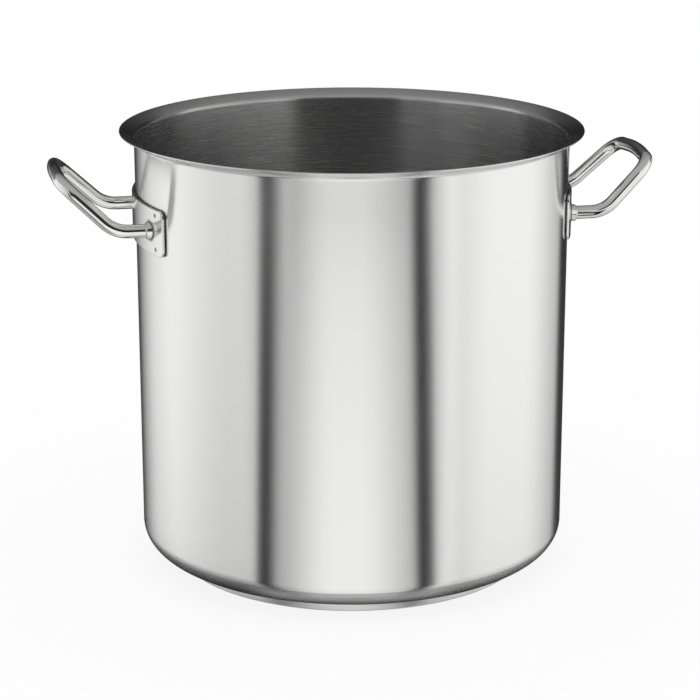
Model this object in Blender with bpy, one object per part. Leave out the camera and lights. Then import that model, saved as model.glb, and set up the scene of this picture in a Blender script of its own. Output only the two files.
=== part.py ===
"""Stock pot: a tall round pan of stainless steel with a flared pouring rim, a
sandwich base and two welded tube handles.

Units are metres. +Z is up, the pot stands on z = 0 round the Z axis, and its two
handles point along -X (left) and +X (right).
"""
import math

import bmesh
import bpy
from mathutils import Vector

# ---- pot ------------------------------------------------------------------
INNER_DIAMETER = 0.360
INNER_DEPTH = 0.360
WALL = 0.0012
CORNER_RADIUS = 0.020          # inside, where the wall meets the bottom

# ---- pouring rim ------------------------------------------------------------
RIM_OVERHANG = 0.012           # how far the lip stands out from the wall
RIM_BEND_RADIUS = 0.004        # on the outside of the wall
RIM_BEND_ANGLE = math.radians(60)
RIM_LIP_ANGLE = math.radians(74)   # slope of the lip's end, from upright
LIP_CROWN = 0.0003             # rounding of the lip's edge

# ---- base -------------------------------------------------------------------
BASE_HEIGHT = 0.011            # capsule and disc, below the shell
BASE_SETBACK = 0.0287          # edge of the base, inside the wall's outside
CAPSULE_SHEET = 0.0008
CAPSULE_EDGE_RADIUS = 0.002

# ---- handle tube ------------------------------------------------------------
TUBE_DIAMETER = 0.011
TUBE_WALL = 0.0015
LEG_SPACING = 0.108            # between the two legs, centre to centre
GRIP_SPACING = 0.0905          # between the arms where the grip begins
LEG_DROP = 0.0692              # below the rim's top
LEG_REACH = 0.0232             # wall to the crank of the legs
LEG_CLEARANCE = 0.0005         # end of the tube to the wall
CRANK_ANGLE = math.radians(43.8)
CRANK_RADIUS = 0.0274
ARM_LENGTH = 0.0543            # crank to the grip's ends
GRIP_BOW = 0.0056              # how far the grip bulges outward
GRIP_CORNER_RADIUS = 0.0197

# ---- handle plate -----------------------------------------------------------
PLATE_MARGIN = 0.022           # from a leg to the plate's end, round the pot
PLATE_HEIGHT = 0.038
PLATE_THICKNESS = 0.0025
PLATE_CORNER_RADIUS = 0.006
PLATE_EDGE = 0.0005            # softened front edge
FLARE_WIDTH = 0.0036           # drawn up from the plate round each collar
FLARE_HEIGHT = 0.0005
COLLAR_WALL = 0.0011
COLLAR_STAND = 0.0003          # least height of the collar above its flare
BEAD_LENGTH = 0.0010           # fillet weld on the tube

# ---- spot welds ---------------------------------------------------------------
SPOT_SIDE_INSET = 0.0125       # from the plate's short edges
SPOT_END_INSET = 0.005         # from the plate's long edges
NUGGET_DIAMETER = 0.004
NUGGET_THICKNESS = 0.0005
DIMPLE_DIAMETER = 0.003
DIMPLE_DEPTH = 0.0005

# ---- clearances and smoothness ------------------------------------------------
FIT = 0.0003                   # between two pieces that touch
POT_SEGMENTS = 80              # round the pot
TUBE_SIDES = 14
COLLAR_SEGMENTS = 20
SMALL_SEGMENTS = 12            # round a spot weld
BEND_STEPS = 5                 # round the pot's corner, the rim's bend and the cranks
GRIP_STEPS = 6                 # round each end of the grip
PLATE_STEPS = 14               # along the plate
SMALL_STEPS = 3                # round small edges
SHARP_ANGLE = math.radians(35)

# ---- worked out ---------------------------------------------------------------
INNER_RADIUS = INNER_DIAMETER / 2
OUTER_RADIUS = INNER_RADIUS + WALL
HEIGHT = BASE_HEIGHT + WALL + INNER_DEPTH
BASE_RADIUS = OUTER_RADIUS - BASE_SETBACK
TUBE_RADIUS = TUBE_DIAMETER / 2
LEG_HEIGHT = HEIGHT - LEG_DROP
PLATE_BACK = OUTER_RADIUS + FIT
PLATE_FRONT = PLATE_BACK + PLATE_THICKNESS
LEG_OFFSET = LEG_SPACING / 2
LEG_ALONG = math.asin(LEG_OFFSET / PLATE_FRONT) * OUTER_RADIUS   # round the pot
PLATE_HALF = LEG_ALONG + PLATE_MARGIN
BORE_RADIUS = (TUBE_RADIUS + FIT) / math.cos(math.pi / COLLAR_SEGMENTS)
COLLAR_RADIUS = TUBE_RADIUS + FIT + COLLAR_WALL
COLLAR_TOP = math.sqrt(PLATE_FRONT ** 2 - (LEG_OFFSET - COLLAR_RADIUS) ** 2) + FLARE_HEIGHT
COLLAR_END = COLLAR_TOP + COLLAR_STAND


# ---- materials ----------------------------------------------------------------
def steel(name, colour, roughness):
    """A metal with the given grey and roughness."""
    material = bpy.data.materials.new(name)
    material.use_nodes = True
    shader = material.node_tree.nodes["Principled BSDF"]
    shader.inputs["Base Color"].default_value = (*colour, 1.0)
    shader.inputs["Metallic"].default_value = 1.0
    shader.inputs["Roughness"].default_value = roughness
    return material


# ---- modelling helpers --------------------------------------------------------
def add_object(name, mesh_data, material=None):
    """Turn a bmesh into a named object, with smooth faces and sharp corners."""
    bmesh.ops.recalc_face_normals(mesh_data, faces=mesh_data.faces)
    mesh = bpy.data.meshes.new(name)
    mesh_data.to_mesh(mesh)
    mesh_data.free()
    mesh.shade_smooth()
    mesh.set_sharp_from_angle(angle=SHARP_ANGLE)
    thing = bpy.data.objects.new(name, mesh)
    bpy.context.scene.collection.objects.link(thing)
    if material is not None:
        mesh.materials.append(material)
    return thing


def turned(name, profile, segments, material=None, ring=False):
    """Spin a profile of (radius, height) points round Z. A ring's profile is closed."""
    work = bmesh.new()
    points = [work.verts.new((radius, 0.0, height)) for radius, height in profile]
    edges = [work.edges.new(pair) for pair in zip(points, points[1:])]
    if ring:
        edges.append(work.edges.new((points[-1], points[0])))
    bmesh.ops.spin(
        work, geom=points + edges, axis=(0, 0, 1), cent=(0, 0, 0),
        steps=segments, angle=math.tau, use_merge=True,
    )
    bmesh.ops.remove_doubles(work, verts=work.verts, dist=1e-6)
    return add_object(name, work, material)


def spread(start, end, steps):
    """Evenly spaced values from start to end, both included."""
    return [start + (end - start) * step / steps for step in range(steps + 1)]


def arc(centre, radius, start, end, steps):
    """Points of a plane arc, both ends included, at angles from the first axis."""
    return [
        (centre[0] + radius * math.cos(angle), centre[1] + radius * math.sin(angle))
        for angle in spread(start, end, steps)
    ]


def combine(target, tool, operation):
    """Join or cut the target with a hidden helper object."""
    tool.hide_render = True
    tool.display_type = "WIRE"
    modifier = target.modifiers.new(tool.name, "BOOLEAN")
    modifier.operation = operation
    modifier.solver = "EXACT"
    modifier.object = tool


# ---- pot shell ----------------------------------------------------------------
def sheet_bend(centre, radius, start, end, steps):
    """Bend of the sheet's inner face, hollow side outward: (point, direction through) pairs."""
    pairs = []
    for slope in spread(start, end, steps):
        through = (math.cos(slope), -math.sin(slope))
        pairs.append(((centre[0] - radius * through[0], centre[1] - radius * through[1]), through))
    return pairs


def shell_section():
    """Inner face of the shell as (point, direction through the sheet) pairs."""
    floor = BASE_HEIGHT + WALL
    section = [((0.0, floor), (0.0, -1.0))]
    corner = (INNER_RADIUS - CORNER_RADIUS, floor + CORNER_RADIUS)
    section += sheet_bend(corner, -CORNER_RADIUS, math.pi / 2, 0.0, BEND_STEPS)

    # The rim is a tight bend that runs into a long, nearly straight flare.
    bend = RIM_BEND_RADIUS + WALL
    reach = WALL + RIM_OVERHANG - WALL * math.cos(RIM_LIP_ANGLE)
    reach_left = reach - bend * (1 - math.cos(RIM_BEND_ANGLE))
    flare = reach_left / (math.cos(RIM_BEND_ANGLE) - math.cos(RIM_LIP_ANGLE))
    bend_rise = bend * math.sin(RIM_BEND_ANGLE)
    flare_rise = flare * (math.sin(RIM_LIP_ANGLE) - math.sin(RIM_BEND_ANGLE))
    bend_centre = (INNER_RADIUS + bend, HEIGHT - bend_rise - flare_rise)
    flare_centre = (
        bend_centre[0] + (flare - bend) * math.cos(RIM_BEND_ANGLE),
        bend_centre[1] - (flare - bend) * math.sin(RIM_BEND_ANGLE),
    )
    section += sheet_bend(bend_centre, bend, 0.0, RIM_BEND_ANGLE, BEND_STEPS)
    section += sheet_bend(flare_centre, flare, RIM_BEND_ANGLE, RIM_LIP_ANGLE, SMALL_STEPS)[1:]
    return section


def make_shell(material):
    """Deep-drawn wall, bottom and pouring rim, in one sheet."""
    section = shell_section()
    inner = [point for point, through in section]
    outer = [(p[0] + WALL * t[0], p[1] + WALL * t[1]) for p, t in section]
    crown = (
        (inner[-1][0] + outer[-1][0]) / 2 + LIP_CROWN * math.sin(RIM_LIP_ANGLE),
        (inner[-1][1] + outer[-1][1]) / 2 + LIP_CROWN * math.cos(RIM_LIP_ANGLE),
    )
    turned("pot_shell", inner + [crown] + outer[::-1], POT_SEGMENTS, material)


# ---- sandwich base --------------------------------------------------------------
def make_base(capsule_material, core_material):
    """Capsule pressed round an aluminium disc, under the shell."""
    top = BASE_HEIGHT - FIT
    edge = (BASE_RADIUS - CAPSULE_EDGE_RADIUS, CAPSULE_EDGE_RADIUS)
    outside = arc(edge, CAPSULE_EDGE_RADIUS, -math.pi / 2, 0.0, SMALL_STEPS)
    inside = arc(edge, CAPSULE_EDGE_RADIUS - CAPSULE_SHEET, 0.0, -math.pi / 2, SMALL_STEPS)
    capsule = [(0.0, 0.0)] + outside + [(BASE_RADIUS, top), (BASE_RADIUS - CAPSULE_SHEET, top)]
    capsule += inside + [(0.0, CAPSULE_SHEET)]
    turned("base_cap", capsule, POT_SEGMENTS, capsule_material)

    core = [(0.0, CAPSULE_SHEET + FIT)]
    core += arc(edge, CAPSULE_EDGE_RADIUS - CAPSULE_SHEET - FIT, -math.pi / 2, 0.0, SMALL_STEPS)
    core += [(BASE_RADIUS - CAPSULE_SHEET - FIT, top), (0.0, top)]
    turned("base_core", core, POT_SEGMENTS, core_material)


# ---- handle tube ----------------------------------------------------------------
def rounded(before, corner, after, radius, steps):
    """Points of the arc that rounds a corner between two directions."""
    back = (before - corner).normalized()
    ahead = (after - corner).normalized()
    half = back.angle(ahead) / 2
    centre = corner + (back + ahead).normalized() * (radius / math.sin(half))
    start = (corner + back * (radius / math.tan(half)) - centre).normalized()
    end = (corner + ahead * (radius / math.tan(half)) - centre).normalized()
    return [centre + start.slerp(end, share) * radius for share in spread(0.0, 1.0, steps)]


def handle_centreline():
    """Centre of the tube, from one open end round the grip to the other."""
    outward = Vector((math.cos(CRANK_ANGLE), 0.0, math.sin(CRANK_ANGLE)))
    grip_half = GRIP_SPACING / 2
    wall_there = math.sqrt(OUTER_RADIUS ** 2 - (LEG_OFFSET - TUBE_RADIUS) ** 2)
    leg_end = Vector((wall_there + LEG_CLEARANCE, LEG_OFFSET, LEG_HEIGHT))
    crank = Vector((OUTER_RADIUS + LEG_REACH, LEG_OFFSET, LEG_HEIGHT))
    crank_middle = Vector((crank.x, 0.0, crank.z))
    corner = crank_middle + outward * ARM_LENGTH + Vector((0.0, grip_half, 0.0))

    # The grip is an arc through both corners, bulging outward by GRIP_BOW.
    grip_radius = (grip_half ** 2 + GRIP_BOW ** 2) / (2 * GRIP_BOW)
    grip_centre = crank_middle + outward * (ARM_LENGTH + GRIP_BOW - grip_radius)
    tangent = corner - grip_centre
    along_grip = outward * tangent.y - Vector((0.0, tangent.dot(outward), 0.0))
    corner_arc = rounded(crank, corner, corner + along_grip, GRIP_CORNER_RADIUS, GRIP_STEPS)

    half = [leg_end]
    half += rounded(leg_end, crank, corner, CRANK_RADIUS, BEND_STEPS)
    half += corner_arc
    last = math.atan2(corner_arc[-1].y, (corner_arc[-1] - grip_centre).dot(outward))
    for share in (0.5, 0.0):
        angle = last * share
        reach = outward * (grip_radius * math.cos(angle))
        half.append(grip_centre + reach + Vector((0.0, grip_radius * math.sin(angle), 0.0)))
    other = [Vector((point.x, -point.y, point.z)) for point in half[-2::-1]]
    return half + other


def section_frames(path):
    """Two directions across the path at each of its points, without twist."""
    ahead = [(path[1] - path[0]).normalized()]
    for before, after in zip(path, path[2:]):
        ahead.append((after - before).normalized())
    ahead.append((path[-1] - path[-2]).normalized())
    side = Vector((0.0, 0.0, 1.0))
    frames = []
    for direction in ahead:
        side = (side - direction * side.dot(direction)).normalized()
        frames.append((side, direction.cross(side)))
    return frames


def make_tube(name, material):
    """Hollow bent tube with both ends open."""
    path = handle_centreline()
    work = bmesh.new()
    skins = []
    for radius in (TUBE_RADIUS, TUBE_RADIUS - TUBE_WALL):
        rings = []
        for point, (side, up) in zip(path, section_frames(path)):
            ring = []
            for index in range(TUBE_SIDES):
                angle = math.tau * index / TUBE_SIDES
                offset = side * math.cos(angle) + up * math.sin(angle)
                ring.append(work.verts.new(point + offset * radius))
            rings.append(ring)
        skins.append(rings)
    outer, inner = skins
    for rings in skins:
        for first, second in zip(rings, rings[1:]):
            join_rings(work, first, second)
    join_rings(work, outer[0], inner[0])
    join_rings(work, outer[-1], inner[-1])
    return add_object(name, work, material)


def join_rings(work, first, second):
    """Skin two rings of equal length with quads."""
    count = len(first)
    for index in range(count):
        after = (index + 1) % count
        work.faces.new((first[index], first[after], second[after], second[index]))


# ---- handle plate ---------------------------------------------------------------
def plate_stations():
    """Where the plate's outline is drawn: (centre along the plate, corner angle)."""
    straight = PLATE_HALF - PLATE_CORNER_RADIUS
    middle = [(along, 0.0) for along in spread(-straight, straight, PLATE_STEPS)]
    left = [(-straight, angle) for angle in spread(-math.pi / 2, 0.0, BEND_STEPS)[:-1]]
    right = [(straight, angle) for angle in spread(0.0, math.pi / 2, BEND_STEPS)[1:]]
    return left + middle + right


def plate_column(centre, angle):
    """Six points across the plate at one station, from its lower back edge round."""
    half = PLATE_HEIGHT / 2 - PLATE_CORNER_RADIUS
    column = []
    for radius, soften in ((PLATE_BACK, 0.0), (PLATE_FRONT - PLATE_EDGE, 0.0), (PLATE_FRONT, PLATE_EDGE)):
        round_by = PLATE_CORNER_RADIUS - soften
        along = (centre + round_by * math.sin(angle)) / OUTER_RADIUS
        rise = half + round_by * math.cos(angle)
        column.append((radius, along, rise))
    lower = [(radius, along, -rise) for radius, along, rise in column]
    return [
        Vector((radius * math.cos(along), radius * math.sin(along), LEG_HEIGHT + rise))
        for radius, along, rise in lower + column[::-1]
    ]


def make_plate_blank(name, material):
    """Curved plate with rounded corners and a softened front edge."""
    work = bmesh.new()
    columns = []
    for centre, angle in plate_stations():
        columns.append([work.verts.new(point) for point in plate_column(centre, angle)])
    for first, second in zip(columns, columns[1:]):
        join_rings(work, first, second)
    for column in (columns[0], columns[-1]):
        work.faces.new((column[0], column[1], column[4], column[5]))
        work.faces.new((column[1], column[2], column[3], column[4]))
    return add_object(name, work, material)


def collar_profile():
    """Flare and side of a collar as (radius, rise) pairs, the rise from the plate's front."""
    root = -PLATE_THICKNESS / 2
    foot = root / 3
    profile = [(COLLAR_RADIUS + FLARE_WIDTH, root)]
    for angle in spread(0.0, math.pi / 2, SMALL_STEPS):
        radius = COLLAR_RADIUS + FLARE_WIDTH * (1 - math.sin(angle))
        profile.append((radius, foot + (FLARE_HEIGHT - foot) * (1 - math.cos(angle))))
    return profile


def make_collar(name, side, mount):
    """Collar round one leg, whose flare follows the plate's curve; rooted in the sheet."""
    work = bmesh.new()
    rings = []
    profile = collar_profile()
    for radius, rise in profile + [(COLLAR_RADIUS, None)]:
        ring = []
        for index in range(COLLAR_SEGMENTS):
            angle = math.tau * index / COLLAR_SEGMENTS
            y = side * LEG_OFFSET + radius * math.cos(angle)
            x = COLLAR_END if rise is None else math.sqrt(PLATE_FRONT ** 2 - y ** 2) + rise
            ring.append(work.verts.new((x, y, LEG_HEIGHT + radius * math.sin(angle))))
        rings.append(ring)
    for first, second in zip(rings, rings[1:]):
        join_rings(work, first, second)
    root = math.sqrt(PLATE_FRONT ** 2 - LEG_OFFSET ** 2) + profile[0][1]
    middle = work.verts.new((root, side * LEG_OFFSET, LEG_HEIGHT))
    for index in range(COLLAR_SEGMENTS):
        work.faces.new((rings[0][index - 1], rings[0][index], middle))
    work.faces.new(rings[-1])
    bmesh.ops.triangulate(work, faces=work.faces)
    collar = add_object(name, work)
    collar.parent = mount
    return collar


def make_plate(name, material, mount):
    """Plate with two drawn collars, their bores, four weld dimples and four pockets."""
    plate = make_plate_blank(name, material)
    plate.parent = mount
    for side in (-1, 1):
        combine(plate, make_collar(f"{name}_collar_{side}", side, mount), "UNION")
    for side in (-1, 1):
        through = cylinder(BORE_RADIUS, -LEG_REACH, LEG_REACH)
        bore = turned(f"{name}_bore_{side}", through, COLLAR_SEGMENTS)
        set_on_leg(bore, side, mount)
        combine(plate, bore, "DIFFERENCE")
    for index, (along, rise) in enumerate(spot_places()):
        dimple = turned(f"{name}_dimple_{index}", dimple_ball(), SMALL_SEGMENTS)
        set_on_wall(dimple, along, rise, PLATE_FRONT, mount)
        combine(plate, dimple, "DIFFERENCE")
        pocket = turned(f"{name}_pocket_{index}", nugget_pocket(), SMALL_SEGMENTS)
        set_on_wall(pocket, along, rise, PLATE_BACK, mount)
        combine(plate, pocket, "DIFFERENCE")
    return plate


def cylinder(radius, low, high):
    """Profile of a plain cylinder."""
    return [(0.0, low), (radius, low), (radius, high), (0.0, high)]


def set_on_leg(thing, side, mount):
    """Put a turned piece at a collar's end, its Z axis along the leg, away from the pot."""
    thing.location = (COLLAR_END, side * LEG_OFFSET, LEG_HEIGHT)
    thing.rotation_euler = (0.0, math.pi / 2, 0.0)
    thing.parent = mount


def set_on_wall(thing, along, rise, radius, mount):
    """Put a turned piece on the plate, its Z axis pointing straight out of the wall."""
    angle = along / OUTER_RADIUS
    thing.location = (radius * math.cos(angle), radius * math.sin(angle), LEG_HEIGHT + rise)
    thing.rotation_euler = (0.0, math.pi / 2, angle)
    thing.parent = mount


# ---- welds ------------------------------------------------------------------------
def spot_places():
    """The plate's four spot welds: (distance round the pot, height from its middle)."""
    along = PLATE_HALF - SPOT_SIDE_INSET
    rise = PLATE_HEIGHT / 2 - SPOT_END_INSET
    return [(along * x, rise * y) for x in (-1, 1) for y in (-1, 1)]


def dimple_ball():
    """Ball whose end presses the electrode's dimple into the plate's front."""
    ball = ((DIMPLE_DIAMETER / 2) ** 2 + DIMPLE_DEPTH ** 2) / (2 * DIMPLE_DEPTH)
    return arc((0.0, ball - DIMPLE_DEPTH), ball, -math.pi / 2, math.pi / 2, 2 * SMALL_STEPS)


def nugget_pocket():
    """Shallow pocket in the plate's back that holds a nugget."""
    return cylinder(NUGGET_DIAMETER / 2 + FIT, -FIT / 2, NUGGET_THICKNESS + FIT)


def make_nugget(name, material, along, rise, mount):
    """Round nugget of a spot weld, between the plate and the wall."""
    rim = NUGGET_DIAMETER / 2
    half = NUGGET_THICKNESS / 2
    profile = [(0.0, 0.0), (rim - half, 0.0), (rim, half), (rim - half, NUGGET_THICKNESS)]
    profile.append((0.0, NUGGET_THICKNESS))
    nugget = turned(name, profile, SMALL_SEGMENTS, material)
    set_on_wall(nugget, along, rise, PLATE_BACK, mount)


def make_bead(name, material, side, mount):
    """Fillet weld round a leg, on the end of its collar."""
    leg = BORE_RADIUS
    profile = [(leg, FIT)]
    for angle in spread(0.0, math.pi / 2, SMALL_STEPS):
        radius = leg + (COLLAR_RADIUS - leg) * math.cos(angle)
        profile.append((radius, FIT + BEAD_LENGTH * math.sin(angle)))
    bead = turned(name, profile, COLLAR_SEGMENTS, material, ring=True)
    set_on_leg(bead, side, mount)


# ---- handles ------------------------------------------------------------------------
def make_handle(label, turn, plate_material, tube_material, weld_material):
    """One handle with its plate and welds, on an empty turned to its side of the pot."""
    mount = bpy.data.objects.new("handle_mount_" + label, None)
    mount.rotation_euler = (0.0, 0.0, turn)
    bpy.context.scene.collection.objects.link(mount)
    tube = make_tube("handle_tube_" + label, tube_material)
    tube.parent = mount
    make_plate("handle_plate_" + label, plate_material, mount)
    for leg, side in (("a", -1), ("b", 1)):
        make_bead(f"handle_weld_{label}_{leg}", weld_material, side, mount)
    for number, (along, rise) in enumerate(spot_places(), start=1):
        make_nugget(f"spot_weld_{label}_{number}", weld_material, along, rise, mount)


def main():
    for thing in list(bpy.data.objects):
        bpy.data.objects.remove(thing, do_unlink=True)
    brushed = steel("pot_steel", (0.80, 0.80, 0.795), 0.24)
    capsule = steel("base_steel", (0.75, 0.75, 0.745), 0.28)
    aluminium = steel("core_aluminium", (0.80, 0.81, 0.82), 0.42)
    plate = steel("plate_steel", (0.82, 0.82, 0.815), 0.20)
    tube = steel("tube_steel", (0.84, 0.84, 0.835), 0.10)
    weld = steel("weld_metal", (0.74, 0.73, 0.71), 0.26)
    make_shell(brushed)
    make_base(capsule, aluminium)
    make_handle("left", math.pi, plate, tube, weld)
    make_handle("right", 0.0, plate, tube, weld)


main()
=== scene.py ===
"""Stock pot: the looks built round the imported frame.

Metres, +Z up, the pot on z = 0 round the Z axis, its handles towards -X and +X.
The sizes below are the frame's own; each piece only rounds, smooths and finishes
the CAD node that it stands for.
"""

import math

import bmesh
import bpy
from mathutils import Matrix, Vector
from mathutils.geometry import delaunay_2d_cdt


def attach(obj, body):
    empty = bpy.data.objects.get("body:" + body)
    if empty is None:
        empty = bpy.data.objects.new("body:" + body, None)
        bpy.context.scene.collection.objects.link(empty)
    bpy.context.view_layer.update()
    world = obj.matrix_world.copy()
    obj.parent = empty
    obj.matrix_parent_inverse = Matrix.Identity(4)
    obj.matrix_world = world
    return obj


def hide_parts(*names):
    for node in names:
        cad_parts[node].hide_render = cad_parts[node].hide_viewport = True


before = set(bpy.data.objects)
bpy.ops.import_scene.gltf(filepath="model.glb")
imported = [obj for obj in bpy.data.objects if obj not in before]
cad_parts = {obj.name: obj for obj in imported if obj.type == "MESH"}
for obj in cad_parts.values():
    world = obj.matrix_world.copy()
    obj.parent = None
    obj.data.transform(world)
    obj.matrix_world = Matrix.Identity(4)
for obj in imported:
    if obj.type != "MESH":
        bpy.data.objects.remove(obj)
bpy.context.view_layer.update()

# ---- sizes of the frame -------------------------------------------------------
R_IN = 0.180                   # inside of the wall
WALL = 0.0012
R_OUT = R_IN + WALL
DEPTH = 0.360
CORNER = 0.020
BASE_H = 0.011
BASE_R = R_OUT - 0.0287
FLOOR = BASE_H + WALL
TOP = FLOOR + DEPTH
RIM_REACH = 0.012
RIM_BEND = 0.004 + WALL        # inner face
RIM_TURN = math.radians(60)
RIM_LIP = math.radians(74)
RIM_SLOPE = 0.5                # of a line that parts the rim's upper face from its lower
RIM_LINE = TOP - 0.0066 - RIM_SLOPE * R_IN   # the height where that line meets the axis

TUBE_R = 0.0055
TUBE_WALL = 0.0015
LEG_Y = 0.054
LEG_Z = TOP - 0.0692
LEG_CLEAR = 0.0005             # from the leg's end to the wall
GRIP_Y = 0.04525
CRANK_X = R_OUT + 0.0232
CRANK = math.radians(43.8)
CRANK_R = 0.0274
ARM = 0.0543
BOW = 0.0056
GRIP_R = 0.0197

PLATE_BACK = R_OUT + 0.0003
PLATE_T = 0.0025
PLATE_FRONT = PLATE_BACK + PLATE_T
PLATE_H = 0.038
PLATE_CORNER = 0.006
PLATE_EDGE = 0.0006            # rounding of the front edge
LEG_ALONG = math.asin(LEG_Y / PLATE_FRONT) * R_OUT
PLATE_HALF = LEG_ALONG + 0.022
DIMPLE_ALONG = PLATE_HALF - 0.0125
DIMPLE_RISE = PLATE_H / 2 - 0.005
COLLAR_R = TUBE_R + 0.0014
COLLAR_SOFT = 0.0003           # rounding of the collar's end
COLLAR_BORE = TUBE_R + 0.0001
FLARE_W = 0.0036
FLARE_H = 0.0005
COLLAR_TOP = math.sqrt(PLATE_FRONT ** 2 - (LEG_Y - COLLAR_R) ** 2) + FLARE_H
COLLAR_X = COLLAR_TOP + 0.0003
BEAD = 0.0013

FOOT = 0.0020                  # rounding of the base's lower edge
BASE_LIP = 0.0007              # rounding of its upper edge
BASE_TOP = BASE_H - 0.00005

SEG = 320                      # round the pot
TUBE_SEG = 48                  # round a tube and a collar


# ---- mesh helpers ---------------------------------------------------------------
def place_mesh(name, work, material):
    """Turn a bmesh into an object of the scene."""
    mesh = bpy.data.meshes.new(name)
    work.to_mesh(mesh)
    work.free()
    mesh.materials.append(material)
    thing = bpy.data.objects.new(name, mesh)
    bpy.context.scene.collection.objects.link(thing)
    return thing


def finish_mesh(name, work, material, node):
    """Make a smooth piece of the root body from a bmesh, in place of a CAD node."""
    bmesh.ops.recalc_face_normals(work, faces=work.faces)
    piece = place_mesh(name, work, material)
    piece.data.shade_smooth()
    piece.data.set_sharp_from_angle(angle=math.radians(35.0))
    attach(piece, "root")
    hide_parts(node)


def spread(start, end, steps):
    return [start + (end - start) * step / steps for step in range(steps + 1)]


def circle(count):
    """(cos, sin) of count directions, evenly round a full turn."""
    return [(math.cos(math.tau * k / count), math.sin(math.tau * k / count)) for k in range(count)]


def arc(centre, radius, start, end, steps):
    return [
        (centre[0] + radius * math.cos(a), centre[1] + radius * math.sin(a))
        for a in spread(start, end, steps)
    ]


def join_rings(work, first, second, closed=True):
    count = len(first)
    for index in range(count if closed else count - 1):
        after = (index + 1) % count
        work.faces.new((first[index], first[after], second[after], second[index]))


def lathe(name, profile, material, node):
    """Turn (radius, height) points round Z, from a point on the axis back to one."""
    work = bmesh.new()
    rings = []
    for radius, height in profile:
        if radius == 0.0:
            rings.append(work.verts.new((0, 0, height)))
            continue
        rings.append([work.verts.new((radius * c, radius * s, height)) for c, s in circle(SEG)])
    for first, second in zip(rings, rings[1:]):
        if isinstance(first, list) and isinstance(second, list):
            join_rings(work, first, second)
            continue
        ring, tip = (first, second) if isinstance(first, list) else (second, first)
        for k in range(SEG):
            work.faces.new((ring[k - 1], ring[k], tip))
    finish_mesh(name, work, material, node)


# ---- materials --------------------------------------------------------------------
class Nodes:
    """Short way to build a metal's node tree."""

    def __init__(self, name, material=None):
        self.material = material or bpy.data.materials.new(name)
        self.material.use_nodes = True
        self.tree = self.material.node_tree
        self.shader = self.tree.nodes["Principled BSDF"]
        self.shader.inputs["Metallic"].default_value = 1.0
        self.where = self.tree.nodes.new("ShaderNodeTexCoord").outputs["Object"]

    def feed(self, socket, value):
        if isinstance(value, bpy.types.NodeSocket):
            self.tree.links.new(value, socket)
        else:
            socket.default_value = value

    def surface(self, **sockets):
        """Set the shader's sockets: Base_Color stands for Base Color."""
        for name, value in sockets.items():
            self.feed(self.shader.inputs[name.replace("_", " ")], value)

    def split(self):
        """x, y and z of the place on the object."""
        node = self.tree.nodes.new("ShaderNodeSeparateXYZ")
        self.feed(node.inputs[0], self.where)
        return node.outputs

    def math(self, operation, *values):
        node = self.tree.nodes.new("ShaderNodeMath")
        node.operation = operation
        for socket, value in zip(node.inputs, values):
            self.feed(socket, value)
        return node.outputs[0]

    def plus(self, first, second):
        return self.math("ADD", first, second)

    def minus(self, first, second):
        return self.math("SUBTRACT", first, second)

    def times(self, first, second):
        return self.math("MULTIPLY", first, second)

    def span(self, first, second):
        """Length of the sides' diagonal."""
        return self.math("SQRT", self.plus(self.times(first, first), self.times(second, second)))

    def vector(self, x, y, z):
        node = self.tree.nodes.new("ShaderNodeCombineXYZ")
        for socket, value in zip(node.inputs, (x, y, z)):
            self.feed(socket, value)
        return node.outputs[0]

    def noise(self, place, scale=1.0, detail=3.0, roughness=0.5):
        node = self.tree.nodes.new("ShaderNodeTexNoise")
        self.feed(node.inputs["Vector"], place)
        node.inputs["Scale"].default_value = scale
        node.inputs["Detail"].default_value = detail
        node.inputs["Roughness"].default_value = roughness
        return node.outputs["Fac"]

    def remap(self, value, low, high, to_low, to_high):
        node = self.tree.nodes.new("ShaderNodeMapRange")
        for socket, item in zip(node.inputs, (value, low, high, to_low, to_high)):
            self.feed(socket, item)
        return node.outputs[0]

    def shades(self, factor, colour, stops):
        """Shares of a colour, blended by factor: (place, share or three shares)."""
        node = self.tree.nodes.new("ShaderNodeValToRGB")
        elements = node.color_ramp.elements
        while len(elements) < len(stops):
            elements.new(0.5)
        for element, (place, share) in zip(elements, stops):
            shares = share if isinstance(share, tuple) else (share, share, share)
            element.position = place
            element.color = (*(c * s for c, s in zip(colour, shares)), 1.0)
        self.feed(node.inputs[0], factor)
        return node.outputs["Color"]

    def scaled(self, colour, factor):
        node = self.tree.nodes.new("ShaderNodeVectorMath")
        node.operation = "SCALE"
        self.feed(node.inputs[0], colour)
        self.feed(node.inputs["Scale"], factor)
        return node.outputs[0]

    def bump(self, height, strength, distance):
        node = self.tree.nodes.new("ShaderNodeBump")
        self.feed(node.inputs["Height"], height)
        node.inputs["Strength"].default_value = strength
        node.inputs["Distance"].default_value = distance
        return node.outputs["Normal"]


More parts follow.
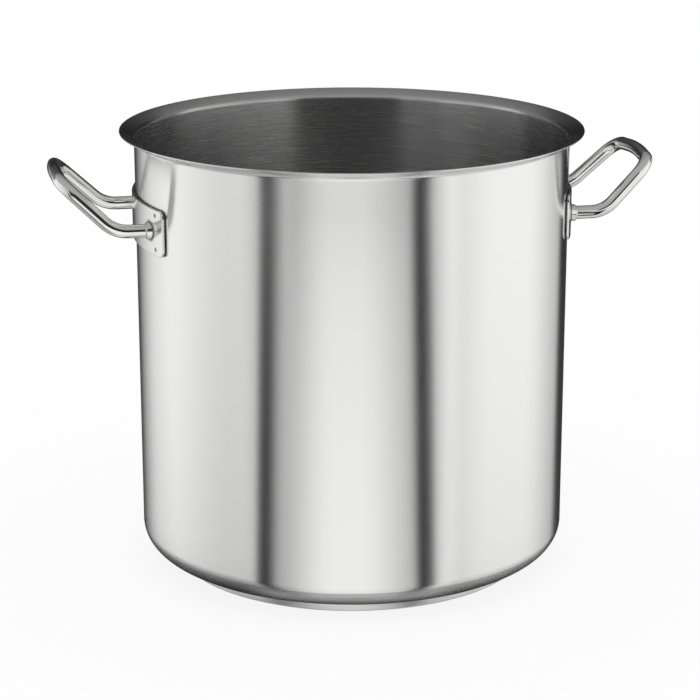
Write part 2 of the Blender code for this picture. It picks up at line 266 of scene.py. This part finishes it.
def turned_steel(name, colour, roughness, inner_roughness, anisotropy, inside_painted_shade=1.0, flare_painted_shade=1.0):
    """Steel brushed round the Z axis, so its reflections blur along the height."""
    n = Nodes(name)
    x, y, z = n.split()
    turn = n.math("ARCTAN2", y, x)
    across = n.span(x, y)
    along = n.plus(z, across)
    # Lines run round the pot: stretched along the turn, fine across it.
    fine = n.noise(n.vector(n.times(turn, 5.0), n.times(along, 2600.0), 0.0), detail=2.0, roughness=0.6)
    coarse = n.noise(n.vector(n.times(turn, 2.0), n.times(along, 700.0), 3.0), detail=3.0, roughness=0.6)
    cloud = n.noise(n.where, scale=9.0, detail=3.0)
    tint = n.shades(n.plus(n.times(coarse, 0.5), n.times(fine, 0.5)), colour,
                    [(0.3, 0.975), (0.5, 1.0), (0.7, 1.015)])
    # 1 within the middle of the wall's sheet: on the pot's inside, and all over its base.
    inside = n.math("LESS_THAN", across, R_IN + WALL / 2)
    # 1 on the rim's upper face, outside that.
    over = n.math("GREATER_THAN", n.minus(z, n.times(across, RIM_SLOPE)), RIM_LINE)
    flare = n.times(over, n.minus(1.0, inside))
    # Longer, lighter streaks that brushing leaves inside.
    streaks = n.noise(n.vector(n.times(turn, 5.0), n.times(along, 420.0), 7.0), detail=2.0)
    lighter = n.times(inside, n.remap(streaks, 0.45, 0.75, -0.02, 0.14))
    # Painted shade: the pot's inside and the rim's upper face are darkened by their shares of the colour.
    painted_shade = n.plus(n.times(inside, inside_painted_shade - 1.0), n.times(flare, flare_painted_shade - 1.0))
    uneven = n.plus(n.remap(coarse, 0.3, 0.7, -0.008, 0.008), n.remap(cloud, 0.3, 0.7, -0.005, 0.005))
    tangent = n.tree.nodes.new("ShaderNodeTangent")
    tangent.direction_type = "RADIAL"
    tangent.axis = "Z"
    n.surface(Base_Color=n.scaled(tint, n.plus(n.plus(painted_shade, lighter), 1.0)),
              Roughness=n.plus(n.plus(n.times(inside, inner_roughness - roughness), roughness), uneven),
              Anisotropic=anisotropy, Anisotropic_Rotation=0.25, Tangent=tangent.outputs[0],
              Normal=n.bump(fine, 0.05, 0.0003))
    return n.material


def polished_steel(name, colour, roughness):
    """Polished tube: clear reflections over fine marks."""
    n = Nodes(name)
    cloud = n.noise(n.where, scale=40.0, detail=2.0)
    scratch = n.noise(n.where, scale=2600.0, detail=2.0)
    n.surface(Base_Color=n.shades(cloud, colour, [(0.35, 0.97), (0.65, 1.0)]),
              Roughness=n.remap(cloud, 0.3, 0.7, roughness - 0.004, roughness + 0.006),
              Normal=n.bump(scratch, 0.002, 0.00005))
    return n.material


def satin_steel(name, colour, roughness):
    """Sheet steel with a fine satin grain along the sheet's length."""
    n = Nodes(name)
    x, y, z = n.split()
    grain = n.noise(n.vector(n.times(x, 120.0), n.times(y, 120.0), n.times(z, 2400.0)), detail=2.0)
    cloud = n.noise(n.where, scale=45.0, detail=4.0, roughness=0.6)
    mixed = n.plus(n.times(cloud, 0.6), n.times(grain, 0.4))
    n.surface(Base_Color=n.shades(mixed, colour, [(0.3, 0.95), (0.5, 1.0), (0.7, 1.015)]),
              Roughness=n.remap(cloud, 0.3, 0.7, roughness - 0.03, roughness + 0.05),
              Normal=n.bump(grain, 0.04, 0.0003))
    return n.material


def plate_sheet(name, colour, roughness):
    """Satin sheet with a painted shadow along its side, dark weld dimples and painted shade round the
    collars.
    """
    n = Nodes(name, satin_steel(name, colour, roughness))
    x, y, z = n.split()
    rise = n.minus(z, LEG_Z)
    across = n.span(x, y)
    along = n.times(n.math("ARCTAN2", n.math("ABSOLUTE", y), n.math("ABSOLUTE", x)), R_OUT)
    dimple = n.span(n.minus(along, DIMPLE_ALONG), n.minus(n.math("ABSOLUTE", rise), DIMPLE_RISE))
    collar = n.span(n.minus(n.math("ABSOLUTE", y), LEG_Y), rise)
    # Painted shadow: the plate's side, below its front face, is darkened where it meets the wall.
    edge = n.remap(across, PLATE_FRONT - 0.0019, PLATE_FRONT - 0.0012, 0.75, 0.0)
    mark = n.remap(dimple, 0.0013, 0.0019, 0.72, 0.0)
    # Painted shade: a ring over the flare round each collar is darkened on the front.
    tint = n.remap(collar, COLLAR_R + 0.0006, COLLAR_R + 0.0030, 0.72, 0.0)
    on_front = n.math("LESS_THAN", across, PLATE_FRONT + 0.0009)
    # The painted shade and the dimples' dark marks, taken off the colour together.
    painted_shade_and_dimple_marks = n.math("MAXIMUM", edge, n.math("MAXIMUM", mark, n.times(tint, on_front)))
    sheet_colour, smooth = (n.shader.inputs[socket].links[0].from_socket for socket in ("Base Color", "Roughness"))
    n.surface(Base_Color=n.scaled(sheet_colour, n.minus(1.0, painted_shade_and_dimple_marks)), Roughness=n.plus(smooth, n.times(painted_shade_and_dimple_marks, 0.35)))
    return n.material


def weld_steel(name, colour, roughness):
    """Weld metal: small ripples and a slight straw tint."""
    n = Nodes(name)
    ripple = n.noise(n.where, scale=700.0, detail=3.0)
    cloud = n.noise(n.where, scale=180.0, detail=3.0)
    n.surface(Base_Color=n.shades(cloud, colour, [(0.4, 1.0), (0.7, (1.02, 0.98, 0.93))]),
              Roughness=n.remap(ripple, 0.3, 0.7, roughness - 0.05, roughness + 0.08),
              Normal=n.bump(ripple, 0.25, 0.0004))
    return n.material


# The pot's inside and its rim's upper face get painted shade.
body_steel = turned_steel("body_steel", (0.88, 0.88, 0.875), 0.19, 0.27, 0.94,
                          inside_painted_shade=0.64, flare_painted_shade=0.66)
base_steel = turned_steel("base_steel", (0.68, 0.68, 0.675), 0.34, 0.34, 0.5)
core_metal = satin_steel("core_aluminium", (0.80, 0.81, 0.82), 0.42)
plate_steel = plate_sheet("plate_steel", (0.86, 0.86, 0.855), 0.16)
tube_steel = polished_steel("tube_steel", (0.88, 0.88, 0.875), 0.06)
weld_metal = weld_steel("weld_metal", (0.74, 0.73, 0.71), 0.26)


# ---- pot shell ----------------------------------------------------------------------
def bend(centre, radius, start, end, steps):
    """(point, direction through the sheet) along a bend of its inner face."""
    pairs = []
    for slope in spread(start, end, steps):
        through = (math.cos(slope), -math.sin(slope))
        pairs.append(((centre[0] - radius * through[0], centre[1] - radius * through[1]), through))
    return pairs


def make_shell():
    """Drawn wall with a rolled edge to its pouring rim."""
    section = [((r, FLOOR), (0.0, -1.0)) for r in (0.0, 0.04, 0.08, 0.12, 0.15)]
    section += bend((R_IN - CORNER, FLOOR + CORNER), -CORNER, math.pi / 2, 0.0, 20)
    reach = WALL + RIM_REACH - WALL * math.cos(RIM_LIP)
    left = reach - RIM_BEND * (1 - math.cos(RIM_TURN))
    flare = left / (math.cos(RIM_TURN) - math.cos(RIM_LIP))
    rise = RIM_BEND * math.sin(RIM_TURN) + flare * (math.sin(RIM_LIP) - math.sin(RIM_TURN))
    first = (R_IN + RIM_BEND, TOP - rise)
    second = (first[0] + (flare - RIM_BEND) * math.cos(RIM_TURN),
              first[1] - (flare - RIM_BEND) * math.sin(RIM_TURN))
    for height in spread(FLOOR + CORNER, first[1], 14)[1:-1]:
        section.append(((R_IN, height), (1.0, 0.0)))
    section += bend(first, RIM_BEND, 0.0, RIM_TURN, 16)
    section += bend(second, flare, RIM_TURN, RIM_LIP, 8)[1:]
    inner = [p for p, t in section]
    outer = [(p[0] + WALL * t[0], p[1] + WALL * t[1]) for p, t in section]
    # Round the sheet's cut edge, and draw its two faces back to where the round starts.
    away = section[-1][1]
    beyond = (math.sin(RIM_LIP), math.cos(RIM_LIP))
    middle = ((inner[-1][0] + outer[-1][0]) / 2, (inner[-1][1] + outer[-1][1]) / 2)
    back = WALL / 4
    edge = []
    for a in spread(0.0, math.pi, 8)[1:-1]:
        side, out = -math.cos(a) * WALL / 2, math.sin(a) * WALL / 2 - back
        edge.append((middle[0] + away[0] * side + beyond[0] * out,
                     middle[1] + away[1] * side + beyond[1] * out))
    for face in (inner, outer):
        face[-1] = (face[-1][0] - beyond[0] * back, face[-1][1] - beyond[1] * back)
    lathe("pot_body", inner + edge + outer[::-1], body_steel, "pot_shell")


# ---- base -----------------------------------------------------------------------------
def make_base():
    """Pressed capsule: rounded foot, flat side, and a softened upper edge at the shell."""
    profile = [(r, 0.0) for r in (0.0, 0.05, 0.10, 0.14)]
    profile += arc((BASE_R - FOOT, FOOT), FOOT, -math.pi / 2, 0.0, 8)
    profile += arc((BASE_R - BASE_LIP, BASE_TOP - BASE_LIP), BASE_LIP, 0.0, math.pi / 2, 5)
    profile += [(BASE_R - 0.012, BASE_TOP), (0.0, BASE_TOP)]
    lathe("base_capsule", profile, base_steel, "base_cap")


# ---- tubes ------------------------------------------------------------------------------
def rounded(before, corner, after, radius, steps):
    """Points of the arc that rounds a corner between two straights."""
    back = (before - corner).normalized()
    ahead = (after - corner).normalized()
    half = back.angle(ahead) / 2
    centre = corner + (back + ahead).normalized() * (radius / math.sin(half))
    start = (corner + back * (radius / math.tan(half)) - centre).normalized()
    end = (corner + ahead * (radius / math.tan(half)) - centre).normalized()
    return [centre + start.slerp(end, share) * radius for share in spread(0.0, 1.0, steps)]


def centreline():
    """A handle's centreline: leg, crank, arm, grip corner and bowed grip, then back."""
    outward = Vector((math.cos(CRANK), 0.0, math.sin(CRANK)))
    wall_there = math.sqrt(R_OUT ** 2 - (LEG_Y - TUBE_R) ** 2)
    leg_end = Vector((wall_there + LEG_CLEAR, LEG_Y, LEG_Z))
    crank = Vector((CRANK_X, LEG_Y, LEG_Z))
    middle = Vector((CRANK_X, 0.0, LEG_Z))
    corner = middle + outward * ARM + Vector((0.0, GRIP_Y, 0.0))
    radius = (GRIP_Y ** 2 + BOW ** 2) / (2 * BOW)
    centre = middle + outward * (ARM + BOW - radius)
    tangent = corner - centre
    along = outward * tangent.y - Vector((0.0, tangent.dot(outward), 0.0))
    turn = rounded(crank, corner, corner + along, GRIP_R, 22)
    half = [leg_end, leg_end.lerp(Vector((CRANK_X - 0.012, LEG_Y, LEG_Z)), 0.5)]
    half += rounded(leg_end, crank, corner, CRANK_R, 18)
    here = half[-1]
    half += [here.lerp(turn[0], s) for s in (0.25, 0.5, 0.75)]
    half += turn
    last = math.atan2(turn[-1].y, (turn[-1] - centre).dot(outward))
    for share in (0.75, 0.5, 0.25, 0.0):
        a = last * share
        half.append(centre + outward * (radius * math.cos(a)) + Vector((0.0, radius * math.sin(a), 0.0)))
    return half + [Vector((p.x, -p.y, p.z)) for p in half[-2::-1]]


def make_tube(label, turn):
    """Bent hollow tube, open at the ends of its two legs."""
    path = centreline()
    ahead = [(path[1] - path[0]).normalized()]
    ahead += [(b - a).normalized() for a, b in zip(path, path[2:])]
    ahead.append((path[-1] - path[-2]).normalized())
    work = bmesh.new()
    side = Vector((0.0, 0.0, 1.0))
    outer, inner = [], []
    for point, direction in zip(path, ahead):
        side = (side - direction * side.dot(direction)).normalized()
        up = direction.cross(side)
        for radius, rings in ((TUBE_R, outer), (TUBE_R - TUBE_WALL, inner)):
            rings.append([work.verts.new(turn @ (point + (side * c + up * s) * radius))
                          for c, s in circle(TUBE_SEG)])
    for rings in (outer, inner):
        for first, second in zip(rings, rings[1:]):
            join_rings(work, first, second)
    join_rings(work, outer[0], inner[0])
    join_rings(work, outer[-1], inner[-1])
    finish_mesh("tube_" + label, work, tube_steel, "handle_tube_" + label)


# ---- plates --------------------------------------------------------------------------------
def outline(inset):
    """Points round the plate's outline, (along, rise), anticlockwise, moved in by inset."""
    round_by = PLATE_CORNER - inset
    far, high = PLATE_HALF - PLATE_CORNER, PLATE_H / 2 - PLATE_CORNER
    turns = [arc((sx * far, sy * high), round_by, math.radians(start), math.radians(start + 90), 8)
             for sx, sy, start in ((1, -1, -90), (1, 1, 0), (-1, 1, 90), (-1, -1, 180))]
    points = []
    # Each corner, then the side after it in so many cells.
    for k, cells in enumerate((12, 60, 12, 60)):
        points += turns[k]
        here, goal = turns[k][-1], turns[(k + 1) % 4][0]
        points += [(here[0] + (goal[0] - here[0]) * s, here[1] + (goal[1] - here[1]) * s)
                   for s in spread(0.0, 1.0, cells)[1:-1]]
    return points


def on_plate(along, rise, radius):
    a = along / R_OUT
    return Vector((radius * math.cos(a), radius * math.sin(a), LEG_Z + rise))


def leg_ring(radius, side):
    """(y, z from the leg's height) of a ring round a leg."""
    return [(side * LEG_Y + radius * c, radius * s) for c, s in circle(TUBE_SEG)]


def off_features(along, rise):
    """True where the plain grid of the sheet has room for a point."""
    over_x = max(abs(along) - (PLATE_HALF - PLATE_CORNER), 0.0)
    over_y = max(abs(rise) - (PLATE_H / 2 - PLATE_CORNER), 0.0)
    return (math.hypot(over_x, over_y) <= PLATE_CORNER - PLATE_EDGE - 0.0007
            and math.hypot(abs(along) - LEG_ALONG, rise) >= COLLAR_R + FLARE_W + 0.0008
            and math.hypot(abs(along) - DIMPLE_ALONG, abs(rise) - DIMPLE_RISE) >= 0.0028)


def plate_front():
    """The front's points, flat and in place, its loops, and which loops end at a collar."""
    flat, places, loops = [], [], []

    def loop(entries):
        first = len(flat)
        for point, place in entries:
            flat.append(point)
            places.append(place)
        loops.append(list(range(first, len(flat))))

    loop([((a, r), on_plate(a, r, PLATE_FRONT)) for a, r in outline(PLATE_EDGE)])
    holes = []
    for side in (-1, 1):
        # The sheet curls up into the collar over a quarter turn.
        for curl in spread(0.0, math.pi / 2, 7):
            entries = []
            for y, z in leg_ring(COLLAR_R + FLARE_W * (1 - math.sin(curl)), side):
                front = math.sqrt(PLATE_FRONT ** 2 - y ** 2)
                place = Vector((front + FLARE_H * (1 - math.cos(curl)), y, LEG_Z + z))
                entries.append(((math.atan2(y, front) * R_OUT, z), place))
            loop(entries)
        holes.append(len(loops) - 1)
    hollow = ((0.0022, 0.0), (0.0017, 0.00008), (0.0014, 0.00035), (0.0009, 0.00052), (0.0004, 0.00055))
    for along, rise in ((a * DIMPLE_ALONG, r * DIMPLE_RISE) for a in (-1, 1) for r in (-1, 1)):
        for radius, depth in hollow:
            spots = [(along + radius * c, rise + radius * s) for c, s in circle(20)]
            loop([(spot, on_plate(*spot, PLATE_FRONT - depth)) for spot in spots])
    # Fill the sheet between with a fine triangular grid.
    step = 0.0016
    columns, lines = int(PLATE_HALF / step) + 1, int(PLATE_H / 2 / step) + 1
    for i in range(-columns, columns + 1):
        for j in range(-lines, lines + 1):
            along, rise = (i + 0.5 * (j % 2)) * step, j * step
            if off_features(along, rise):
                flat.append((along, rise))
                places.append(on_plate(along, rise, PLATE_FRONT))
    return flat, places, loops, holes


def make_plate(label, turn):
    """Curved plate: soft front edge, two collars drawn up in a flare, four weld dimples."""
    flat, places, loops, holes = plate_front()
    edges = [(ring[k - 1], ring[k]) for ring in loops for k in range(len(ring))]
    result = delaunay_2d_cdt([Vector(p) for p in flat], edges, [], 0, 1e-7, True)
    flat_out, faces_out, origin = result[0], result[2], result[3]
    work = bmesh.new()
    verts = {}

    def vert(index):
        if index not in verts:
            verts[index] = work.verts.new(turn @ places[origin[index][0]])
        return verts[index]

    # Faces within a collar are left out, where its bore is.
    open_within = COLLAR_R * math.cos(math.pi / TUBE_SEG) * 0.99
    for face in faces_out:
        centre = sum((Vector(flat_out[i]) for i in face), Vector((0, 0))) / len(face)
        y = PLATE_FRONT * math.sin(centre.x / R_OUT)
        if math.hypot(abs(y) - LEG_Y, centre.y) >= open_within:
            work.faces.new([vert(i) for i in face])
    index_of = {source[0]: index for index, source in enumerate(origin) if source}

    def ring_verts(ring):
        return [vert(index_of[i]) for i in ring]

    # Collars, from the flare's top to a softened end and into the bore.
    rows = [(COLLAR_R, COLLAR_X - COLLAR_SOFT)]
    rows += arc((COLLAR_R - COLLAR_SOFT, COLLAR_X - COLLAR_SOFT), COLLAR_SOFT, 0.0, math.pi / 2, 4)[1:]
    rows += [(COLLAR_BORE, COLLAR_X), (COLLAR_BORE, COLLAR_X - 0.006)]
    for side, hole in zip((-1, 1), holes):
        previous = ring_verts(loops[hole])
        for radius, x in rows:
            ring = [work.verts.new(turn @ Vector((x, y, LEG_Z + z))) for y, z in leg_ring(radius, side)]
            join_rings(work, previous, ring)
            previous = ring
    # Soft front edge, side and back.
    rows = [(PLATE_EDGE * (1 - math.sin(a)), PLATE_FRONT - PLATE_EDGE * (1 - math.cos(a)))
            for a in spread(0.0, math.pi / 2, 5)[1:]]
    rows += [(0.0, PLATE_BACK + 0.0004), (0.0002, PLATE_BACK + 0.0001), (0.0035, PLATE_BACK)]
    previous = ring_verts(loops[0])
    for inset, radius in rows:
        ring = [work.verts.new(turn @ on_plate(along, rise, radius)) for along, rise in outline(inset)]
        join_rings(work, previous, ring)
        previous = ring
    finish_mesh("plate_" + label, work, plate_steel, "handle_plate_" + label)


# ---- welds -----------------------------------------------------------------------------------
def make_bead(label, leg, side, turn):
    """Fillet of weld round a leg, with the ripple that a torch leaves."""
    work = bmesh.new()
    rings = []
    for t in spread(0.0, math.tau, 96)[:-1]:
        ripple = 1 + 0.05 * math.sin(22 * t) + 0.04 * math.sin(5 * t + side)
        rows = [(TUBE_R - 0.0001 + (COLLAR_R - 0.00015 - TUBE_R) * math.cos(a) * ripple,
                 COLLAR_X - 0.0001 + BEAD * math.sin(a) * ripple)
                for a in spread(0.0, math.pi / 2, 8)]
        rows.append((TUBE_R - 0.0002, COLLAR_X - 0.0003))
        rings.append([
            work.verts.new(turn @ Vector((
                x, side * LEG_Y + radius * math.cos(t), LEG_Z + radius * math.sin(t))))
            for radius, x in rows
        ])
    for k, ring in enumerate(rings):
        join_rings(work, rings[k - 1], ring)
    finish_mesh(f"bead_{label}_{leg}", work, weld_metal, f"handle_weld_{label}_{leg}")


make_shell()
make_base()
for label, angle in (("left", math.pi), ("right", 0.0)):
    turn = Matrix.Rotation(angle, 3, "Z")
    make_tube(label, turn)
    make_plate(label, turn)
    for leg, side in (("a", -1), ("b", 1)):
        make_bead(label, leg, side, turn)

# The CAD nodes that stay as they are get the same finishes.
for name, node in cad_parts.items():
    if name == "base_core" or name.startswith("spot_weld"):
        node.data.materials.clear()
        node.data.materials.append(core_metal if name == "base_core" else weld_metal)


# ---- studio ------------------------------------------------------------------------------------
PHOTO_ANGLE = math.radians(10.8)     # camera's way round the pot
TILT = math.radians(16.20)
towards_camera = Vector((-math.sin(PHOTO_ANGLE), -math.cos(PHOTO_ANGLE), 0.0))
to_the_right = Vector((math.cos(PHOTO_ANGLE), -math.sin(PHOTO_ANGLE), 0.0))

CARDS_CENTRE = Vector((0.0, 0.0, 0.2))
LEAN_ZERO = -17.0              # height at which a leaning card is where it says, in degrees
LEAN_END = -28.0               # height below which it goes straight down
SHADOW_CARD_INNER = BASE_R + 0.0055
FLOOR_REACH = 8.0
FLOOR_DROP = 0.0002            # keeps the floor clear of the pot's underside


def level_way(degrees):
    """Level direction so many degrees to the right of the camera, seen from the pot."""
    a = math.radians(degrees)
    return towards_camera * math.cos(a) + to_the_right * math.sin(a)


def card_material(name, level, cover):
    """Grey card with soft edges: the edge's fade is stored on its vertices."""
    material = bpy.data.materials.new(name)
    material.use_nodes = True
    nodes, links = material.node_tree.nodes, material.node_tree.links
    nodes.clear()
    glow = nodes.new("ShaderNodeEmission")
    glow.inputs["Color"].default_value = (level, level, level, 1.0)
    clear = nodes.new("ShaderNodeBsdfTransparent")
    fade = nodes.new("ShaderNodeAttribute")
    fade.attribute_name = "fade"
    amount = nodes.new("ShaderNodeMath")
    amount.operation = "MULTIPLY"
    amount.inputs[1].default_value = cover
    links.new(fade.outputs["Fac"], amount.inputs[0])
    mix = nodes.new("ShaderNodeMixShader")
    links.new(amount.outputs[0], mix.inputs[0])
    links.new(clear.outputs[0], mix.inputs[1])
    links.new(glow.outputs[0], mix.inputs[2])
    out = nodes.new("ShaderNodeOutputMaterial")
    links.new(mix.outputs[0], out.inputs[0])
    return material


def soft_sheet(name, across, upward, place, soft, level, cover):
    """Sheet seen only in reflections, over two lists of steps, put in place by place(s, t).

    soft is how far its edges fade: at the first and last of each list in turn.
    """
    def fade(inside, width):
        t = max(0.0, min(1.0, inside / width)) if width else 1.0
        return t * t * (3 - 2 * t)

    work = bmesh.new()
    layer = work.verts.layers.float.new("fade")
    columns = []
    for s in across:
        column = []
        for t in upward:
            vert = work.verts.new(place(s, t))
            vert[layer] = (fade(s - across[0], soft[0]) * fade(across[-1] - s, soft[1])
                           * fade(t - upward[0], soft[2]) * fade(upward[-1] - t, soft[3]))
            column.append(vert)
        columns.append(column)
    for first, second in zip(columns, columns[1:]):
        join_rings(work, first, second, closed=False)
    sheet = place_mesh(name, work, card_material(name, level, cover))
    sheet.visible_camera = False
    sheet.visible_diffuse = False
    sheet.visible_shadow = False


def card(name, left, right, low, high, level, cover=1.0, soft=(2, 2, 4, 4), distance=3.2, lean=0.0):
    """Card of a sphere round the pot, in degrees right of the camera and above the horizon.

    lean moves it to the right by so many degrees for each degree of height.
    """
    def place(s, e):
        way = level_way(s + lean * (max(e, LEAN_END) - LEAN_ZERO))
        rise = math.radians(e)
        return (way * math.cos(rise) + Vector((0, 0, math.sin(rise)))) * distance + CARDS_CENTRE

    soft_sheet(name, spread(left, right, max(12, int((right - left) / 1.5))),
               spread(low, high, max(12, int((high - low) / 2))), place, soft, level, cover)


def painted_shadow_card(name, left, right, outer, lift, level, cover, soft):
    """Flat dark card round the pot's foot, a little over the height of the base's top: a painted shadow,
    which the steel mirrors where the floor's contact shadow would be.
    """
    def place(s, radius):
        return level_way(s) * radius + Vector((0, 0, BASE_H + lift))

    soft_sheet(name, spread(left, right, max(12, int((right - left) / 3))),
               spread(SHADOW_CARD_INNER, outer, 24), place, soft, level, cover)


# Grey overhead, dark room behind; softer light to the sides of the middle panel; the gap
# that the camera looks through; two narrow flags; dark cards round the pot's foot, a painted
# shadow. Each has its own distance or height, so no two lie in one surface.
card("ceiling", -180, 180, 14, 89.8, 0.42, soft=(0, 0, 32, 0), distance=3.9)
card("underneath", -180, 180, -89.8, -26, 0.80, soft=(0, 0, 0, 34), distance=3.8)
card("panel_left", -114, -52, -60, 28, 0.62, cover=0.6, soft=(50, 15, 20, 20), distance=3.7)
card("edge_left", -158, -104, -60, 28, 0.66, cover=0.6, soft=(25, 32, 20, 20), distance=3.68)
card("middle_left", -68, -8, -60, 36, 0.20, cover=0.6, soft=(26, 36, 16, 16), distance=3.65)
card("middle_right", 4, 55, -60, 8, 0.15, cover=0.55, soft=(36, 14, 16, 20), distance=3.6)
card("panel_right", 50, 80, -60, 31, 0.48, cover=0.8, soft=(10, 52, 16, 20), distance=3.55)
card("fall_right", 101, 159, -60, 32, 0.43, cover=0.8, soft=(42, 4, 16, 20), distance=3.5)
card("room", 108, 252, 2, 42, 0.13, cover=0.85, soft=(8, 8, 8, 14), distance=3.48)
card("room_top", 114, 246, 28, 82, 0.28, cover=0.85, soft=(30, 30, 14, 26), distance=3.47)
card("gap_wide", -30, 35, -3, 48, 0.0, cover=0.97, soft=(2, 2, 6, 22), distance=1.6)
card("table", -42, 48, -89, -64, 0.08, cover=0.45, soft=(15, 15, 0, 14), distance=3.3)
card("low_left", -165, -22, -72, -16, 0.30, cover=0.7, soft=(20, 24, 10, 20), distance=3.35)
card("low_right", 40, 160, -72, -14, 0.34, cover=0.4, soft=(24, 20, 10, 20), distance=3.36)
card("gap", 4, 38, -3, 40, 0.02, cover=0.95, soft=(6, 12, 6, 14), distance=1.55)
card("fade_left", -42, -10, -22, 8, 0.2, cover=0.28, soft=(3, 28, 10, 8), distance=3.25)
card("flag_left", -50.9, -35.9, -80, 12, 0.0, soft=(3.5, 8, 14, 23), lean=0.33)
card("flag_right", 30.7, 44.0, -72, 11, 0.0, soft=(3.5, 3.8, 14, 15), lean=-0.32)
card("back", 137, 235, -80, 55, 0.01, cover=0.96, soft=(8, 35, 10, 46), distance=3.3)
# Painted shadow: dark cards round the foot, seen only in the steel's reflections.
painted_shadow_card("painted_shadow_card", -180, 180, 0.187, 0.0005, 0.02, cover=0.70, soft=(0, 0, 0.001, 0.016))
painted_shadow_card("painted_shadow_card_left", -150, -20, 0.217, 0.0003, 0.0, cover=0.90, soft=(8, 14, 0.001, 0.048))
painted_shadow_card("painted_shadow_card_right", 20, 150, 0.206, 0.0007, 0.0, cover=0.72, soft=(14, 8, 0.001, 0.040))


def make_floor():
    """Round pale floor, which the camera sees as white paper with a light shadow."""
    material = bpy.data.materials.new("floor")
    material.use_nodes = True
    nodes, links = material.node_tree.nodes, material.node_tree.links
    paper = nodes["Principled BSDF"]
    paper.inputs["Base Color"].default_value = (0.97, 0.97, 0.97, 1.0)
    paper.inputs["Roughness"].default_value = 1.0
    paper.inputs["Specular IOR Level"].default_value = 0.0
    rays = nodes.new("ShaderNodeLightPath")
    share = nodes.new("ShaderNodeMath")
    share.operation = "MULTIPLY"
    share.inputs[1].default_value = 0.86
    white = nodes.new("ShaderNodeEmission")
    mix = nodes.new("ShaderNodeMixShader")
    links.new(rays.outputs["Is Camera Ray"], share.inputs[0])
    links.new(share.outputs[0], mix.inputs[0])
    links.new(paper.outputs[0], mix.inputs[1])
    links.new(white.outputs[0], mix.inputs[2])
    links.new(mix.outputs[0], nodes["Material Output"].inputs[0])

    work = bmesh.new()
    inner, outer = ([work.verts.new((radius * c, radius * s, -FLOOR_DROP)) for c, s in circle(128)]
                    for radius in (0.001, FLOOR_REACH))
    join_rings(work, inner, outer)
    work.faces.new(inner)
    floor = place_mesh("floor", work, material)
    # The steel mirrors the studio's sides and the dark underneath, not the paper.
    floor.visible_glossy = False


make_floor()

world = bpy.data.worlds.new("studio")
bpy.context.scene.world = world
world.use_nodes = True
white = world.node_tree.nodes["Background"]
white.inputs["Color"].default_value = (1.0, 1.0, 1.0, 1.0)
white.inputs["Strength"].default_value = 1.0

# ---- camera --------------------------------------------------------------------------------------
PHOTO_WIDTH = 700              # pixels
FOCAL = 2264.3                 # focal length in the photo's pixels
POT_AXIS = 351.8               # pixel column of the pot's axis
DISTANCE = 10.291 * R_OUT      # level distance from the pot's axis
HEIGHT = 3.971 * R_OUT

camera_data = bpy.data.cameras.new("photo_camera")
camera = bpy.data.objects.new("photo_camera", camera_data)
bpy.context.scene.collection.objects.link(camera)
camera_data.sensor_fit = "HORIZONTAL"
camera_data.sensor_width = 36.0
camera_data.lens = FOCAL / PHOTO_WIDTH * camera_data.sensor_width
camera_data.shift_x = (PHOTO_WIDTH / 2 - POT_AXIS) / PHOTO_WIDTH
camera_data.clip_start = 0.05
camera.location = towards_camera * DISTANCE + Vector((0.0, 0.0, HEIGHT))
forward = -towards_camera * math.cos(TILT) - Vector((0.0, 0.0, math.sin(TILT)))
camera.rotation_mode = "QUATERNION"
camera.rotation_quaternion = forward.to_track_quat("-Z", "Y")
bpy.context.scene.camera = camera
bpy.context.scene.view_settings.view_transform = "Standard"

bpy.context.view_layer.update()
